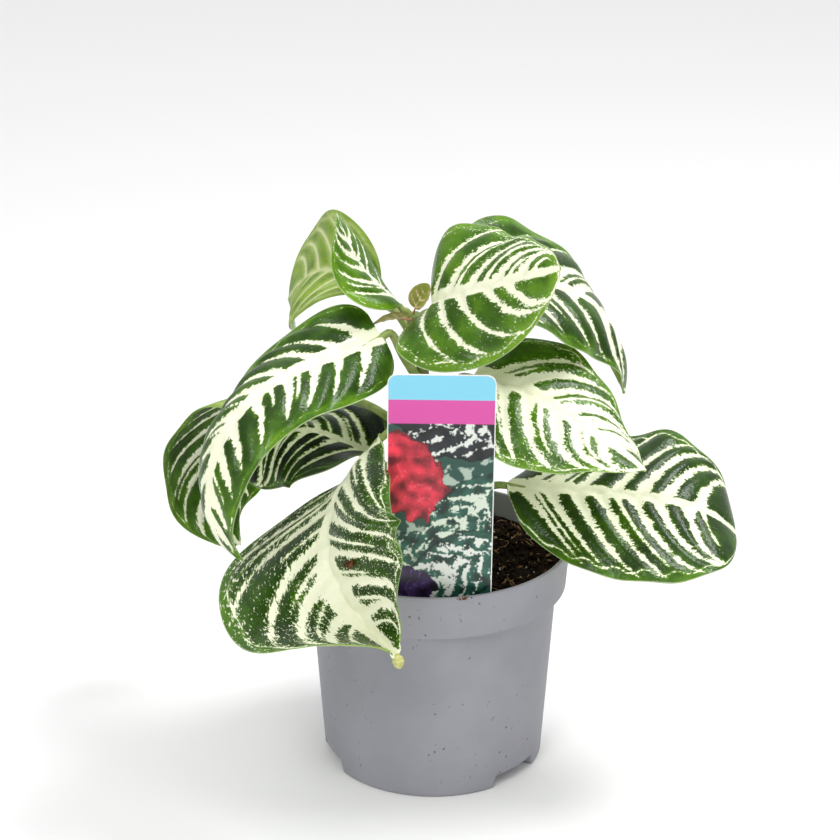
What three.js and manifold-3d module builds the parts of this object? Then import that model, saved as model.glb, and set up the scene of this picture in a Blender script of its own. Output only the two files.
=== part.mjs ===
// A zebra plant in a round nursery pot with a plain care label.
// Millimetres, +Z up. The origin is the centre of the flat underside of the pot.
import * as THREE from "three";
import { mergeVertices } from "three/addons/utils/BufferGeometryUtils.js";
import Module from "manifold-3d";

const wasm = await Module();
wasm.setup();

// ---- driving dimensions ----
const GAP = 0.3;

const POT = {
  rimRadius: 60,
  height: 102,
  collarHeight: 20,
  collarRadius: 58.5,
  shoulderRadius: 54.3,
  footRadius: 48.9,
  footRounding: 1.5,
  wall: 1.2,
  segments: 48,
};
const DRAIN = { count: 3, firstAngle: -41, width: 26, depth: 11, height: 5.5, holeRadius: 3.5 };
const SOIL = { top: 91, mound: 2.5, ripple: 1.2 };
const STEM = { radius: 4, tipRadius: 2.2, depth: 55, nodeSwell: 1.3, sides: 10 };
const LABEL = {
  width: 44,
  thickness: 0.6,
  top: 199.5,
  bottom: 90,
  centreX: 2.2,
  topY: -54.4,
  bottomY: -50.3,
  tilt: 0.6,
  cornerRadius: 4,
  stakeWidth: 14,
  stakeTip: 62,
};
const BLADE = {
  thickness: 0.9,
  stations: 14,
  ribSteps: 3,
  baseHalfWidth: 1.3,
  tipHalfWidth: 0.5,
  easeShare: 0.12, // share of the half width over which the fold and curl grow from flat ends
  fullThicknessWidth: 9, // narrower blades than this are thinner in proportion
};
const PETIOLE = { startRadius: 2.3, endRadius: 1.6, ribEndRadius: 0.6, ribEnd: 0.8, sides: 7 };

// Points on the stem's centre line, from the soil to the growing tip.
const STEM_LINE = [
  [0, 0, SOIL.top - STEM.depth],
  [0, 0, 100],
  [-1, 1, 135],
  [-3, 0, 165],
  [-6, -1, 190],
  [-9, -2, 207],
];

// Each leaf: node = height on the stem where its stalk leaves; base = where the blade starts;
// pitch, yaw and roll turn the midrib along the blade (yaw 0 is +X, 90 is +Y); fold and curl
// bend each half up from the midrib and over; shape sets how blunt the base and the tip are.
const LEAVES = {
  leaf_low_right: {
    node: 112, base: [32, -10, 133], length: 104, width: 42, shape: [0.6, 0.41],
    pitch: [-2, -1, -10, -48], yaw: [-12, -12, -4, 16], roll: [-8, -14, -22, -20],
    foldLeft: [5, 10, 12], foldRight: [-25, -6, 5], curlLeft: [-25, -19, -19], curlRight: [-40, -20, -15],
  },
  leaf_low_back_left: {
    node: 113, base: [-26, 6, 139], length: 74, width: 32, shape: [0.32, 0.57],
    pitch: [17, 12, -40, -53], yaw: [161, 162, 166, 167], roll: [-11, 0, -5, 13],
    foldLeft: [13, -20, -32], foldRight: [37, 5, 3], curlLeft: [-1, -34, -38], curlRight: [3, -27, -19],
  },
  leaf_low_front: {
    node: 138, base: [-22, -32, 164], length: 111, width: 50, shape: [0.87, 0.72],
    pitch: [-29, -52, -42, -19], yaw: [210, 243, 311, 320], roll: [-76, -72, -78, -33],
    foldLeft: [-55, -7, 43], foldRight: [7, 35, 64], curlLeft: [-63, -20, 26], curlRight: [5, 16, 33],
  },
  leaf_far_left: {
    node: 142, base: [-45, 26, 162], length: 142, width: 32, shape: [0.57, 0.53],
    pitch: [3, -35, -75, -153], yaw: [151, 143, 145, 147], roll: [21, -1, 3, -7],
    foldLeft: [0, 12, 4], foldRight: [23, -23, -70], curlLeft: [-20, -7, -21], curlRight: [1, -20, -50],
  },
  leaf_mid_right: {
    node: 160, base: [16.6, -13, 184], length: 87, width: 35, shape: [0.43, 0.78],
    pitch: [2, -16, -23, -24], yaw: [-30, -32, -31, -33], roll: [10, 3, 5, 18],
    foldLeft: [35, 18, 5], foldRight: [-3, -16, -10], curlLeft: [2, -14, -25], curlRight: [-27, -36, -21],
  },
  leaf_mid_left: {
    node: 172, base: [-22, -15, 202], length: 151, width: 25, shape: [0.26, 0.71],
    pitch: [-9, -12, -72, -142], yaw: [218, 220, 221, 216], roll: [30, 2, -2, 2],
    foldLeft: [9, -4, 3], foldRight: [25, 2, 1], curlLeft: [-50, -40, -14], curlRight: [-8, -43, -33],
  },
  leaf_top_back_right: {
    node: 190, base: [10, 7, 218], length: 109, width: 37, shape: [0.38, 0.8],
    pitch: [-4, -10, -55, -96], yaw: [10, 11, 14, 17], roll: [-15, -5, -5, 4],
    foldLeft: [40, 13, -9], foldRight: [23, -6, -13], curlLeft: [7, -7, -19], curlRight: [-9, -34, -29],
  },
  leaf_top_back_left: {
    node: 192, base: [-24, 16, 210], length: 70, width: 28, shape: [0.72, 0.55],
    pitch: [32, -4, -34, -44], yaw: [148, 136, 126, 123], roll: [17, 22, 19, 35],
    foldLeft: [20, -8, -27], foldRight: [46, 39, 28], curlLeft: [-1, -25, -38], curlRight: [21, 12, 4],
  },
  leaf_top_front: {
    node: 200, base: [-1, -10, 213], length: 81, width: 34, shape: [0.36, 0.77],
    pitch: [37, 23, 23, 21], yaw: [-80, -48, -35, -34], roll: [-71, -70, -68, -66],
    foldLeft: [20, -10, -9], foldRight: [35, 6, -12], curlLeft: [-12, -50, -28], curlRight: [5, -21, -30],
  },
  leaf_top_left: {
    node: 202, base: [-14, -3, 212], length: 48, width: 21, shape: [0.5, 0.72],
    pitch: [34, 45, 62, 71], yaw: [173, 168, 159, 153], roll: [-21, -12, -15, -30],
    foldLeft: [0, 0, 10], foldRight: [10, 19, 17], curlLeft: [-51, -49, -32], curlRight: [-38, -33, -28],
  },
  young_leaf_left: {
    node: 204, base: [-11, -7.5, 207], length: 16, width: 4.5, shape: [0.5, 0.7],
    pitch: [5, 0, -12, -20], yaw: [196, 196, 196, 196], roll: [-35, -35, -35, -35],
    foldLeft: [35, 35, 25], foldRight: [35, 35, 25], curlLeft: [-20, -20, -20], curlRight: [-20, -20, -20],
  },
  young_leaf_right: {
    node: 206, base: [-8, -4.5, 210.5], length: 13, width: 5.2, shape: [0.5, 0.6],
    pitch: [65, 62, 60, 60], yaw: [-20, -20, -20, -20], roll: [-80, -80, -80, -80],
    foldLeft: [20, 15, 15], foldRight: [30, 25, 15], curlLeft: [20, 20, 10], curlRight: [20, 20, 10],
  },
};

// ---- small helpers ----
const rad = THREE.MathUtils.degToRad;
const vec = (xyz) => new THREE.Vector3(...xyz);
const lerp = THREE.MathUtils.lerp;
const along = (point, direction, distance) => point.clone().addScaledVector(direction, distance);

function toSolid(geometry) {
  const bare = geometry.clone();
  for (const name of Object.keys(bare.attributes)) {
    if (name !== "position") bare.deleteAttribute(name);
  }
  const merged = mergeVertices(bare, 1e-4);
  const mesh = new wasm.Mesh({
    numProp: 3,
    vertProperties: new Float32Array(merged.attributes.position.array),
    triVerts: new Uint32Array(merged.index.array),
  });
  mesh.merge();
  return new wasm.Manifold(mesh);
}

function toGeometry(solid) {
  const mesh = solid.getMesh();
  const geometry = new THREE.BufferGeometry();
  geometry.setAttribute("position", new THREE.BufferAttribute(mesh.vertProperties, 3));
  geometry.setIndex(new THREE.BufferAttribute(mesh.triVerts, 1));
  return geometry;
}

// The biggest single body, without crumbs or closed pockets left by a cut.
function mainBody(solid) {
  return solid.decompose().reduce((best, part) => (part.volume() > best.volume() ? part : best));
}

// Skin over a row of rings with the same number of points each, closed with a fan at each end.
// Quads from the turn side on are split the other way, so that both faces of a thin blade match.
function loft(rings, turn = Infinity) {
  const size = rings[0].length;
  const positions = rings.flat().flatMap((point) => point.toArray());
  const index = [];
  for (let ring = 0; ring + 1 < rings.length; ring++) {
    for (let side = 0; side < size; side++) {
      const a = ring * size + side;
      const b = ring * size + ((side + 1) % size);
      if (side < turn) index.push(a, b, b + size, a, b + size, a + size);
      else index.push(a, b, a + size, b, b + size, a + size);
    }
  }
  const last = (rings.length - 1) * size;
  for (let side = 1; side + 1 < size; side++) {
    index.push(0, side + 1, side);
    index.push(last, last + side, last + side + 1);
  }
  const geometry = new THREE.BufferGeometry();
  geometry.setAttribute("position", new THREE.Float32BufferAttribute(positions, 3));
  geometry.setIndex(index);
  return geometry;
}

// A round rod along a curve, its radius given along the curve.
function rod(points, radiusAt, sides, steps) {
  const curve = new THREE.CatmullRomCurve3(points, false, "centripetal");
  const frames = curve.computeFrenetFrames(steps, false);
  const rings = [];
  for (let step = 0; step <= steps; step++) {
    const t = step / steps;
    const centre = curve.getPointAt(t);
    const radius = radiusAt(t, centre);
    const ring = [];
    for (let side = 0; side < sides; side++) {
      const angle = (2 * Math.PI * side) / sides;
      const across = along(centre, frames.normals[step], radius * Math.cos(angle));
      ring.push(along(across, frames.binormals[step], radius * Math.sin(angle)));
    }
    rings.push(ring);
  }
  return loft(rings);
}

// A smooth curve through values spaced evenly over 0 to 1.
function smooth(values, t) {
  const spans = values.length - 1;
  const place = THREE.MathUtils.clamp(t, 0, 1) * spans;
  const i = Math.min(Math.floor(place), spans - 1);
  const f = place - i;
  const at = (k) => {
    if (k < 0) return 2 * values[0] - values[1];
    if (k > spans) return 2 * values[spans] - values[spans - 1];
    return values[k];
  };
  const [a, b, c, d] = [at(i - 1), at(i), at(i + 1), at(i + 2)];
  return 0.5 * (2 * b + (c - a) * f + (2 * a - 5 * b + 4 * c - d) * f * f + (3 * b - a - 3 * c + d) * f ** 3);
}

// ---- pot ----
function potOutline() {
  const { rimRadius, height, collarHeight, collarRadius, shoulderRadius, footRadius, footRounding } = POT;
  const collarBottom = height - collarHeight;
  const outline = [[0, 0]];
  for (let step = 0; step <= 2; step++) {
    const angle = rad(-90 + 45 * step);
    outline.push([
      footRadius - footRounding * (1 - Math.cos(angle)),
      footRounding * (1 + Math.sin(angle)),
    ]);
  }
  outline.push([shoulderRadius, collarBottom - 1]);
  outline.push([shoulderRadius + 0.6, collarBottom], [collarRadius - 0.8, collarBottom]);
  outline.push([collarRadius, collarBottom + 1], [rimRadius, height - 1], [rimRadius - 0.4, height]);
  return outline;
}

function potLiner(clearance) {
  const { rimRadius, height, collarHeight, collarRadius, shoulderRadius, footRadius, wall } = POT;
  const inset = wall + clearance;
  const step = height - collarHeight;
  return [
    [0, wall + clearance],
    [footRadius - inset - 2, wall + clearance],
    [footRadius - inset, wall + clearance + 2],
    [shoulderRadius - inset, step - 1],
    [collarRadius - inset - 0.6, step + 1.5],
    [rimRadius - inset, height],
  ];
}

function spun(outline, segments) {
  const points = outline.map(([radius, z]) => new THREE.Vector2(radius, z));
  return new THREE.LatheGeometry(points, segments).rotateX(Math.PI / 2);
}

function drainBlocks(grow) {
  const shape = new THREE.Shape();
  const half = DRAIN.width / 2 + grow;
  const inner = POT.footRadius - DRAIN.depth - grow;
  const corner = 4;
  shape.moveTo(inner, -half + corner);
  shape.absarc(inner + corner, -half + corner, corner, Math.PI, 1.5 * Math.PI, false);
  shape.lineTo(POT.rimRadius, -half);
  shape.lineTo(POT.rimRadius, half);
  shape.absarc(inner + corner, half - corner, corner, Math.PI / 2, Math.PI, false);
  const block = new THREE.ExtrudeGeometry(shape, {
    depth: DRAIN.height + grow + 2, bevelEnabled: false, curveSegments: 3,
  });
  const blocks = [];
  for (let i = 0; i < DRAIN.count; i++) {
    const turn = rad(DRAIN.firstAngle + (360 * i) / DRAIN.count);
    blocks.push(block.clone().translate(0, 0, -2).rotateZ(turn));
  }
  return blocks;
}

function drainHoles() {
  const holes = [];
  for (let i = 0; i < DRAIN.count; i++) {
    const turn = rad(DRAIN.firstAngle + (360 * i) / DRAIN.count);
    const hole = new THREE.CylinderGeometry(DRAIN.holeRadius, DRAIN.holeRadius, 20, 12).rotateX(Math.PI / 2);
    holes.push(hole.translate(POT.footRadius - DRAIN.depth / 2 - 2, 0, 0).rotateZ(turn));
  }
  return holes;
}

function makePot() {
  const liner = potLiner(0);
  liner.push([POT.rimRadius - POT.wall, POT.height + 5], [0, POT.height + 5]);
  let hollow = toSolid(spun(liner, POT.segments));
  for (const block of drainBlocks(POT.wall)) hollow = hollow.subtract(toSolid(block));
  let pot = toSolid(spun([...potOutline(), [0, POT.height]], POT.segments)).subtract(hollow);
  for (const cutter of [...drainBlocks(0), ...drainHoles()]) pot = pot.subtract(toSolid(cutter));
  return pot;
}

// ---- stem ----
function stemSolid(grow) {
  const nodes = Object.values(LEAVES).map((leaf) => leaf.node);
  const points = STEM_LINE.map(vec);
  points[0].z -= grow;
  const radiusAt = (t, centre) => {
    const nearest = Math.min(...nodes.map((height) => Math.abs(height - centre.z)));
    const swell = STEM.nodeSwell * Math.max(0, 1 - nearest / 4);
    return lerp(STEM.radius, STEM.tipRadius, Math.max(0, (t - 0.3) / 0.7)) + swell + grow;
  };
  return toSolid(rod(points, radiusAt, STEM.sides, 20));
}

function stemPoint(height) {
  const curve = new THREE.CatmullRomCurve3(STEM_LINE.map(vec), false, "centripetal");
  let low = 0;
  let high = 1;
  for (let i = 0; i < 24; i++) {
    const middle = (low + high) / 2;
    if (curve.getPointAt(middle).z < height) low = middle;
    else high = middle;
  }
  return curve.getPointAt(low);
}

// ---- leaves ----
function bladeFrames(leaf, stations) {
  const fine = 72;
  const heading = (t) => {
    const pitch = rad(smooth(leaf.pitch, t));
    const yaw = rad(smooth(leaf.yaw, t));
    const cosPitch = Math.cos(pitch);
    return new THREE.Vector3(cosPitch * Math.cos(yaw), cosPitch * Math.sin(yaw), Math.sin(pitch));
  };
  const line = [vec(leaf.base)];
  for (let i = 0; i < fine; i++) {
    line.push(along(line[i], heading((i + 0.5) / fine), leaf.length / fine));
  }
  return stations.map((t) => {
    const i = Math.min(Math.floor(t * fine), fine - 1);
    const middle = line[i].clone().lerp(line[i + 1], t * fine - i);
    const forward = heading(t);
    const yaw = rad(smooth(leaf.yaw, t));
    const roll = rad(smooth(leaf.roll, t));
    const flatSide = new THREE.Vector3(Math.sin(yaw), -Math.cos(yaw), 0);
    const flatNormal = flatSide.clone().cross(forward);
    const side = flatSide.clone().multiplyScalar(Math.cos(roll)).addScaledVector(flatNormal, Math.sin(roll));
    const normal = flatNormal.multiplyScalar(Math.cos(roll)).addScaledVector(flatSide, -Math.sin(roll));
    return { t, middle, side, normal };
  });
}

const leastHalfWidth = (t) => lerp(BLADE.baseHalfWidth, BLADE.tipHalfWidth, t);

function halfWidth(leaf, t) {
  const [blunt, taper] = leaf.shape;
  const peak = blunt / (blunt + taper);
  const at = (x) => x ** blunt * (1 - x) ** taper;
  const inside = THREE.MathUtils.clamp(t, 1e-6, 1 - 1e-6);
  return Math.max((leaf.width * at(inside)) / at(peak), leastHalfWidth(t));
}

// A point across the blade: v runs from -1 at the left margin to 1 at the right one.
function acrossBlade(leaf, frame, v) {
  const hand = v < 0 ? "Left" : "Right";
  const sign = v < 0 ? -1 : 1;
  const width = halfWidth(leaf, frame.t);
  const ease = Math.min(1, (width - leastHalfWidth(frame.t)) / (BLADE.easeShare * leaf.width));
  const fold = ease * rad(smooth(leaf["fold" + hand], frame.t));
  let curl = ease * rad(smooth(leaf["curl" + hand], frame.t));
  if (Math.abs(curl) < 1e-3) curl = 1e-3;
  const reach = Math.abs(v);
  const bend = fold + curl * reach;
  const out = (width * (Math.sin(bend) - Math.sin(fold))) / curl;
  const up = (width * (Math.cos(fold) - Math.cos(bend))) / curl;
  const point = along(along(frame.middle, frame.side, sign * out), frame.normal, up);
  const normal = frame.normal.clone().multiplyScalar(Math.cos(bend));
  normal.addScaledVector(frame.side, -sign * Math.sin(bend));
  return { point, normal };
}

function bladeSolid(leaf) {
  const stations = [];
  for (let i = 0; i <= BLADE.stations; i++) {
    const even = i / BLADE.stations;
    stations.push(0.5 * even + 0.25 * (1 - Math.cos(Math.PI * even)));
  }
  const steps = BLADE.ribSteps;
  const halfThickness = (BLADE.thickness / 2) * Math.min(1, leaf.width / BLADE.fullThicknessWidth);
  const rings = bladeFrames(leaf, stations).map((frame) => {
    const upper = [];
    const lower = [];
    for (let j = -steps; j <= steps; j++) {
      const { point, normal } = acrossBlade(leaf, frame, j / steps);
      if (Math.abs(j) === steps) {
        upper.push(point);
        continue;
      }
      upper.push(along(point, normal, halfThickness));
      lower.unshift(along(point, normal, -halfThickness));
    }
    return [...upper, ...lower];
  });
  return toSolid(loft(rings, 2 * steps));
}

// The stalk leaves the stem, reaches the blade, and runs on under it as the midrib.
function stalkSolid(leaf) {
  const start = stemPoint(leaf.node);
  const base = vec(leaf.base);
  const ribStations = [0.05, 0.3, 0.55, PETIOLE.ribEnd];
  const slim = Math.min(1, leaf.length / 60);
  const rib = bladeFrames(leaf, ribStations).map((f) => along(f.middle, f.normal, -0.7 * slim));
  const lift = start.clone().lerp(base, 0.5);
  lift.z += 0.08 * start.distanceTo(base);
  const points = [start, lift, along(base, new THREE.Vector3(0, 0, 1), -0.7 * slim), ...rib];
  const radiusAt = (t) => slim * lerp(lerp(PETIOLE.startRadius, PETIOLE.endRadius, Math.min(1, 3 * t)),
    PETIOLE.ribEndRadius, t);
  return toSolid(rod(points, radiusAt, PETIOLE.sides, 14));
}

// ---- label ----
function labelSolid(grow) {
  const { width, top, bottom, cornerRadius, stakeWidth, stakeTip, topY, bottomY, thickness } = LABEL;
  const half = width / 2 + grow;
  const stake = stakeWidth / 2 + grow;
  const shape = new THREE.Shape();
  shape.moveTo(-half, bottom - grow);
  shape.lineTo(-stake, bottom - grow);
  shape.lineTo(-stake, stakeTip + 12);
  shape.lineTo(-1 - grow, stakeTip - grow);
  shape.lineTo(1 + grow, stakeTip - grow);
  shape.lineTo(stake, stakeTip + 12);
  shape.lineTo(stake, bottom - grow);
  shape.lineTo(half, bottom - grow);
  shape.lineTo(half, top - cornerRadius);
  shape.absarc(half - cornerRadius, top - cornerRadius, cornerRadius, 0, Math.PI / 2, false);
  shape.lineTo(-half + cornerRadius, top);
  shape.absarc(-half + cornerRadius, top - cornerRadius, cornerRadius, Math.PI / 2, Math.PI, false);
  const thick = thickness + 2 * grow;
  const sheet = new THREE.ExtrudeGeometry(shape, { depth: thick, bevelEnabled: false, curveSegments: 5 });
  const lean = Math.atan2(topY - bottomY, top - bottom);
  sheet.translate(0, 0, -thick / 2).rotateX(Math.PI / 2).translate(0, 0, -bottom);
  sheet.rotateX(-lean).rotateY(rad(LABEL.tilt)).translate(LABEL.centreX, bottomY, bottom);
  return toSolid(sheet);
}

// ---- soil ----
function soilSolid() {
  const liner = potLiner(GAP).filter(([, z]) => z < SOIL.top);
  const edge = liner[liner.length - 1];
  const slope = (POT.rimRadius - POT.collarRadius + 0.6) / (POT.collarHeight - 1.5);
  const rim = [edge[0] + slope * (SOIL.top - edge[1]), SOIL.top];
  const outline = [...liner, rim, [45, SOIL.top], [28, SOIL.top], [12, SOIL.top], [0, SOIL.top]];
  const geometry = spun(outline, 36);
  const position = geometry.attributes.position;
  for (let i = 0; i < position.count; i++) {
    if (position.getZ(i) < SOIL.top - 0.01) continue;
    const [x, y] = [position.getX(i), position.getY(i)];
    const inward = 1 - Math.hypot(x, y) / POT.rimRadius;
    const ripple = Math.sin(x / 9) * Math.cos(y / 7);
    position.setZ(i, SOIL.top + SOIL.mound * inward + SOIL.ripple * ripple * Math.min(1, 3 * inward));
  }
  let soil = toSolid(geometry).subtract(stemSolid(GAP)).subtract(labelSolid(GAP));
  for (const block of drainBlocks(POT.wall + GAP)) soil = soil.subtract(toSolid(block));
  return soil;
}

// ---- the assembly ----
const plant = new THREE.Group();

function place(name, solid, color, roughness) {
  const material = new THREE.MeshStandardMaterial({ color, roughness, metalness: 0 });
  const mesh = new THREE.Mesh(toGeometry(solid), material);
  mesh.name = name;
  plant.add(mesh);
}

place("pot", makePot(), 0x8c8c92, 0.5);
place("potting_soil", soilSolid(), 0x2a1c14, 0.95);
place("main_stem", stemSolid(0), 0x5d7a35, 0.6);
place("plant_label", labelSolid(0), 0xe9e6e2, 0.4);

const stemRoom = stemSolid(GAP);
for (const [name, leaf] of Object.entries(LEAVES)) {
  const young = leaf.length < 30;
  const solid = mainBody(bladeSolid(leaf).add(stalkSolid(leaf)).subtract(stemRoom));
  place(name, solid, young ? 0x8a8440 : 0x3f7a2c, 0.45);
}

export default plant;
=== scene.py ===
"""Looks of the potted zebra plant: leaves, stem, soil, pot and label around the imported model."""

import math

import bpy
import numpy as np
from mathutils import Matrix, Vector, noise


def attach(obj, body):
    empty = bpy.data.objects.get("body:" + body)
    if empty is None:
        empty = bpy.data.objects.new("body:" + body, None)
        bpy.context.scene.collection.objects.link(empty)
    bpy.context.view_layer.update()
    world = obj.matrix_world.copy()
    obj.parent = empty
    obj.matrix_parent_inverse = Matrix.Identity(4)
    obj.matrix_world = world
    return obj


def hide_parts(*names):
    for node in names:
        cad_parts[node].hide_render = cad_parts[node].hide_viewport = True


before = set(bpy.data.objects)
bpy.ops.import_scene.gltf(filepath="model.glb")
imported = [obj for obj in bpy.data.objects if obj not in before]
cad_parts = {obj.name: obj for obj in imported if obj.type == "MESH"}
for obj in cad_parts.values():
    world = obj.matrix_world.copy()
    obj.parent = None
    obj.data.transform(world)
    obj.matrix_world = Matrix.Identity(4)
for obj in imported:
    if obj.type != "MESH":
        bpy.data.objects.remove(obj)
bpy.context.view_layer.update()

MM = 0.001
TAU = 2 * math.pi

# ---- driving dimensions, in millimetres, as in the CAD model ----
POT = dict(rim=60, height=102, collar_height=20, collar=58.5, shoulder=54.3, foot=48.9, rounding=1.5,
           wall=1.2)
DRAIN = dict(count=3, first=-41, half_angle=15.4, depth=11, height=5.5, hole=3.5)
SOIL = dict(top=91, mound=2.5, ripple=1.2)
STEM_LINE = [(0, 0, 36), (0, 0, 100), (-1, 1, 135), (-3, 0, 165), (-6, -1, 190), (-9, -2, 207)]
STEM_RADIUS = (4.0, 2.2)
LABEL = dict(width=44, thickness=0.6, top=199.5, bottom=90, x=2.2, top_y=-54.4, bottom_y=-50.3, tilt=0.6,
             corner=4, stake=14, stake_tip=62)
BLADE_THICKNESS = 0.55
LEAF_GRID = (144, 101)  # points along and across a grown leaf
YOUNG_GRID = (60, 41)
POT_SEGMENTS = 400

# Where the viewer stands, in metres and degrees.
CAMERA = dict(lens=98.57, place=(0, -0.920, 0.526), down=21.8, turn=0.37)

# Each leaf, in three lines. First the height on the stem where its stalk leaves, the point where its
# blade starts, its length, its half width, and how blunt its base and tip are. Then the pitch, yaw and
# roll of the midrib along it. Then how far its left and right halves fold, and how far they curl.
SHAPE_KEYS = ("node", "base", "length", "width", "shape", "pitch", "yaw", "roll",
              "fold_left", "fold_right", "curl_left", "curl_right")
SHAPES = {
    "leaf_low_right": (
        112, (32, -10, 133), 104, 42, (0.6, 0.41),
        (-2, -1, -10, -48), (-12, -12, -4, 16), (-8, -14, -22, -20),
        (5, 10, 12), (-25, -6, 5), (-25, -19, -19), (-40, -20, -15)),
    "leaf_low_back_left": (
        113, (-26, 6, 139), 74, 32, (0.32, 0.57),
        (17, 12, -40, -53), (161, 162, 166, 167), (-11, 0, -5, 13),
        (13, -20, -32), (37, 5, 3), (-1, -34, -38), (3, -27, -19)),
    "leaf_low_front": (
        138, (-22, -32, 164), 111, 50, (0.87, 0.72),
        (-29, -52, -42, -19), (210, 243, 311, 320), (-76, -72, -78, -33),
        (-55, -7, 43), (7, 35, 64), (-63, -20, 26), (5, 16, 33)),
    "leaf_far_left": (
        142, (-45, 26, 162), 142, 32, (0.57, 0.53),
        (3, -35, -75, -153), (151, 143, 145, 147), (21, -1, 3, -7),
        (0, 12, 4), (23, -23, -70), (-20, -7, -21), (1, -20, -50)),
    "leaf_mid_right": (
        160, (16.6, -13, 184), 87, 35, (0.43, 0.78),
        (2, -16, -23, -24), (-30, -32, -31, -33), (10, 3, 5, 18),
        (35, 18, 5), (-3, -16, -10), (2, -14, -25), (-27, -36, -21)),
    "leaf_mid_left": (
        172, (-22, -15, 202), 151, 25, (0.26, 0.71),
        (-9, -12, -72, -142), (218, 220, 221, 216), (30, 2, -2, 2),
        (9, -4, 3), (25, 2, 1), (-50, -40, -14), (-8, -43, -33)),
    "leaf_top_back_right": (
        190, (10, 7, 218), 109, 37, (0.38, 0.8),
        (-4, -10, -55, -96), (10, 11, 14, 17), (-15, -5, -5, 4),
        (40, 13, -9), (23, -6, -13), (7, -7, -19), (-9, -34, -29)),
    "leaf_top_back_left": (
        192, (-24, 16, 210), 70, 28, (0.72, 0.55),
        (32, -4, -34, -44), (148, 136, 126, 123), (17, 22, 19, 35),
        (20, -8, -27), (46, 39, 28), (-1, -25, -38), (21, 12, 4)),
    "leaf_top_front": (
        200, (-1, -10, 213), 81, 34, (0.36, 0.77),
        (37, 23, 23, 21), (-80, -48, -35, -34), (-71, -70, -68, -66),
        (20, -10, -9), (35, 6, -12), (-12, -50, -28), (5, -21, -30)),
    "leaf_top_left": (
        202, (-14, -3, 212), 48, 21, (0.5, 0.72),
        (34, 45, 62, 71), (173, 168, 159, 153), (-21, -12, -15, -30),
        (0, 0, 10), (10, 19, 17), (-51, -49, -32), (-38, -33, -28)),
    "young_leaf_left": (
        204, (-11, -7.5, 207), 16, 4.5, (0.5, 0.7),
        (5, 0, -12, -20), (196, 196, 196, 196), (-35, -35, -35, -35),
        (35, 35, 25), (35, 35, 25), (-20, -20, -20), (-20, -20, -20)),
    "young_leaf_right": (
        206, (-8, -4.5, 210.5), 13, 5.2, (0.5, 0.6),
        (65, 62, 60, 60), (-20, -20, -20, -20), (-80, -80, -80, -80),
        (20, 15, 15), (30, 25, 15), (20, 20, 10), (20, 20, 10)),
}

# How each leaf is marked: pairs of side veins, half width of the pale bands in millimetres, how far they
# sweep forwards, how light the green is (on the low back left leaf partly painted shade), how many flecks,
# how far out the bands reach, how strong the pale line along the margin is, how wavy the margin is, and how
# often a thin vein lies between two.
MARK_KEYS = ("veins", "white", "sweep", "tone", "fleck", "extent", "loop", "wave", "spurs")
MARKS = {
    "leaf_low_right": (7, 1.6, 0.85, 0.35, 0.5, 1.0, 1.0, 1.2, 0.55),
    # Its tone of 0 is partly its own dark green and partly painted shade, as if the leaf lay in shade.
    "leaf_low_back_left": (5, 1.3, 1.0, 0.0, 0.2, 0.95, 0.0, 0.8, 0.4),
    "leaf_low_front": (6, 1.85, 0.8, 0.4, 1.7, 1.0, 0.9, 1.5, 0.8),
    "leaf_far_left": (8, 1.5, 1.0, 0.6, 0.3, 0.9, 0.3, 1.0, 0.5),
    "leaf_mid_right": (6, 2.5, 0.95, 0.7, 1.3, 1.0, 1.0, 0.8, 0.6),
    "leaf_mid_left": (9, 1.5, 1.0, 0.5, 0.2, 0.8, 0.0, 0.8, 0.35),
    "leaf_top_back_right": (6, 1.75, 0.9, 0.5, 0.3, 0.95, 0.3, 1.0, 0.4),
    "leaf_top_back_left": (5, 1.2, 0.9, 0.75, 0.3, 0.95, 0.3, 0.1, 0.4),
    "leaf_top_front": (5, 1.7, 0.95, 0.75, 1.2, 1.0, 1.0, 0.8, 0.35),
    "leaf_top_left": (5, 1.5, 0.9, 0.75, 0.4, 0.9, 0.6, 0.0, 0.3),
    "young_leaf_left": (4, 0.5, 1.0, 0.5, 0.0, 0.9, 0.0, 0.1, 0.0),
    "young_leaf_right": (3, 0.6, 0.9, 0.5, 0.0, 0.9, 0.0, 0.1, 0.0),
}
TURNED = ("leaf_far_left", "leaf_top_back_left")  # their pale underside lies where the others have the top
FLOOD = {"leaf_low_front": 2.3}  # how much the pale midrib widens along the lower blade
LEAVES = {}
for number, (leaf_name, leaf_shape) in enumerate(SHAPES.items()):
    LEAVES[leaf_name] = dict(zip(SHAPE_KEYS + MARK_KEYS, leaf_shape + MARKS[leaf_name]))
    LEAVES[leaf_name].update(seed=number + 1, turned=leaf_name in TURNED, flood=FLOOD.get(leaf_name, 0.0))


# ---- camera, light and floor ----
def placed(name, data):
    thing = bpy.data.objects.new(name, data)
    bpy.context.scene.collection.objects.link(thing)
    return thing


def make_camera():
    data = bpy.data.cameras.new("camera")
    data.sensor_width = 36
    data.lens = CAMERA["lens"]
    camera = placed("camera", data)
    camera.location = CAMERA["place"]
    camera.rotation_euler = (math.radians(90 - CAMERA["down"]), 0, math.radians(CAMERA["turn"]))
    bpy.context.scene.camera = camera


def area_light(name, place, target, size, watts):
    data = bpy.data.lights.new(name, "AREA")
    data.shape = "DISK"
    data.size = size
    data.energy = watts
    light = placed(name, data)
    light.location = place
    aim = Vector(target) - Vector(place)
    light.rotation_euler = aim.to_track_quat("-Z", "Y").to_euler()


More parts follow.
